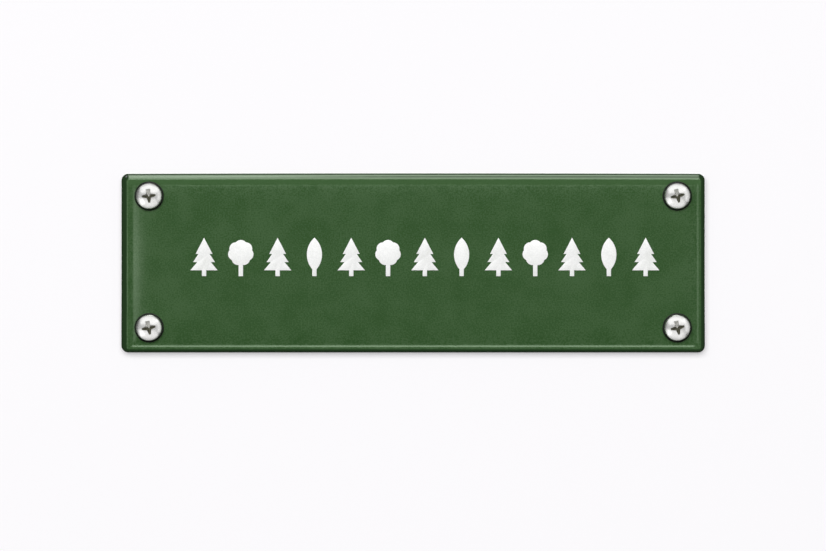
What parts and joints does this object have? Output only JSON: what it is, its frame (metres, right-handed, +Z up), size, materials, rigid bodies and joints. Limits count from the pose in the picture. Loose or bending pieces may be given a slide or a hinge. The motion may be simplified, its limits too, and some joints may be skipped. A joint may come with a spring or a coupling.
{
  "type": "enamel sign",
  "caption": "Small landscape enamelled steel sign with a rolled rim, a white row of trees, and pan-head screws with rubber washers into wall plugs.",
  "frame": {"origin": "middle of the four screws, on the wall plane", "axes": "+X along the sign to the viewer's right, +Y into the wall, +Z up"},
  "size_m": [0.2, 0.0379, 0.0615],
  "materials": {
    "sheet_steel": "bare pressed sheet",
    "green_enamel": "glossy vitreous enamel with a fine grain",
    "ground_enamel": "dark speckled ground coat",
    "white_enamel": "glossy vitreous enamel",
    "screw_steel": "polished stainless steel",
    "washer_rubber": "satin black",
    "spacer_rubber": "matt black",
    "plug_nylon": "grey nylon"
  },
  "bodies": {
    "sign": {"steel_plate": "sheet_steel", "green_enamel": "green_enamel", "ground_enamel": "ground_enamel", "white_trees": "white_enamel", "spacer_top_left": "spacer_rubber", "spacer_top_right": "spacer_rubber", "spacer_bottom_left": "spacer_rubber", "spacer_bottom_right": "spacer_rubber", "plug_top_left": "plug_nylon", "plug_top_right": "plug_nylon", "plug_bottom_left": "plug_nylon", "plug_bottom_right": "plug_nylon"},
    "washer_top_left": {"washer_top_left": "washer_rubber"},
    "screw_top_left": {"screw_top_left": "screw_steel"},
    "washer_top_right": {"washer_top_right": "washer_rubber"},
    "screw_top_right": {"screw_top_right": "screw_steel"},
    "washer_bottom_left": {"washer_bottom_left": "washer_rubber"},
    "screw_bottom_left": {"screw_bottom_left": "screw_steel"},
    "washer_bottom_right": {"washer_bottom_right": "washer_rubber"},
    "screw_bottom_right": {"screw_bottom_right": "screw_steel"}
  },
  "joints": [
    {"name": "top_left_draw", "type": "slide", "parent": "sign", "child": "washer_top_left", "axis": [0, -1, 0], "range_m": [0, 0.025]},
    {"name": "top_left_turn", "type": "hinge", "parent": "washer_top_left", "child": "screw_top_left", "pos_m": [-0.0904, -0.005, 0.02255], "axis": [0, -1, 0], "range_deg": [0, 4500]},
    {"name": "top_right_draw", "type": "slide", "parent": "sign", "child": "washer_top_right", "axis": [0, -1, 0], "range_m": [0, 0.025]},
    {"name": "top_right_turn", "type": "hinge", "parent": "washer_top_right", "child": "screw_top_right", "pos_m": [0.0904, -0.005, 0.02255], "axis": [0, -1, 0], "range_deg": [0, 4500]},
    {"name": "bottom_left_draw", "type": "slide", "parent": "sign", "child": "washer_bottom_left", "axis": [0, -1, 0], "range_m": [0, 0.025]},
    {"name": "bottom_left_turn", "type": "hinge", "parent": "washer_bottom_left", "child": "screw_bottom_left", "pos_m": [-0.0904, -0.005, -0.02255], "axis": [0, -1, 0], "range_deg": [0, 4500]},
    {"name": "bottom_right_draw", "type": "slide", "parent": "sign", "child": "washer_bottom_right", "axis": [0, -1, 0], "range_m": [0, 0.025]},
    {"name": "bottom_right_turn", "type": "hinge", "parent": "washer_bottom_right", "child": "screw_bottom_right", "pos_m": [0.0904, -0.005, -0.02255], "axis": [0, -1, 0], "range_deg": [0, 4500]}
  ],
  "couplings": [
    {"joint": "top_left_turn", "follows": "top_left_draw", "rad_per_m": 3141.6},
    {"joint": "top_right_turn", "follows": "top_right_draw", "rad_per_m": 3141.6},
    {"joint": "bottom_left_turn", "follows": "bottom_left_draw", "rad_per_m": 3141.6},
    {"joint": "bottom_right_turn", "follows": "bottom_right_draw", "rad_per_m": 3141.6}
  ]
}
